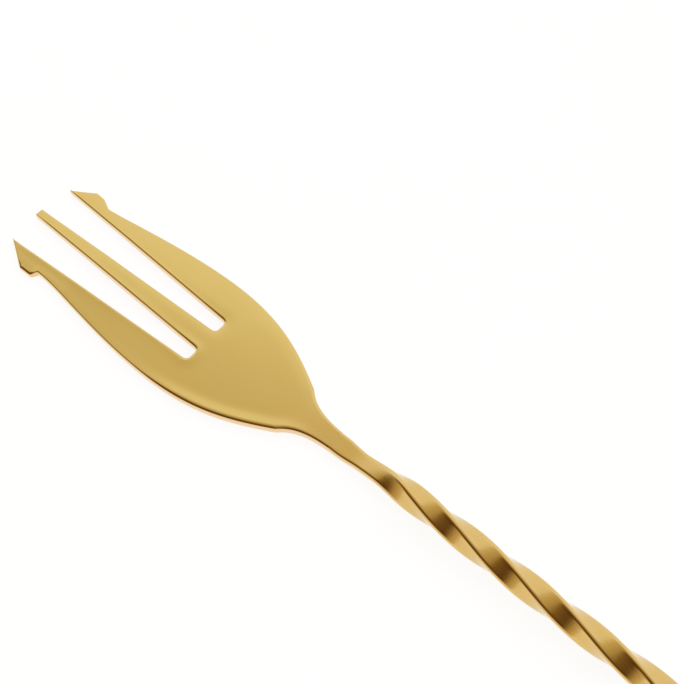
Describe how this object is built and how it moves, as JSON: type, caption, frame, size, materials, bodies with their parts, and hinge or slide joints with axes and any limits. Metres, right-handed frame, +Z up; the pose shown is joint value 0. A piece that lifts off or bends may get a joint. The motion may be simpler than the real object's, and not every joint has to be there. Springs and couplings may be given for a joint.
{
  "type": "bar spoon",
  "caption": "Long slim bar spoon with a twisted square stem, a teardrop bowl at one end and a flat barbed fork head at the other, all in gold-coloured metal.",
  "frame": {"origin": "under the middle of the spoon's length, on the surface that the spoon lies on", "axes": "+X from the fork end to the bowl end, +Z up with the bowl open upwards, +Y completes a right-handed frame"},
  "size_m": [0.315, 0.024, 0.0062],
  "materials": {
    "gold_head": "fine satin, gold plated stainless steel",
    "gold_stem": "satin, gold plated stainless steel",
    "gold_weld": "ground flush and gold plated with its neighbours"
  },
  "bodies": {
    "root": {"fork_head": "gold_head", "stem": "gold_stem", "spoon_bowl": "gold_head", "fork_weld": "gold_weld", "bowl_weld": "gold_weld"}
  },
  "joints": []
}
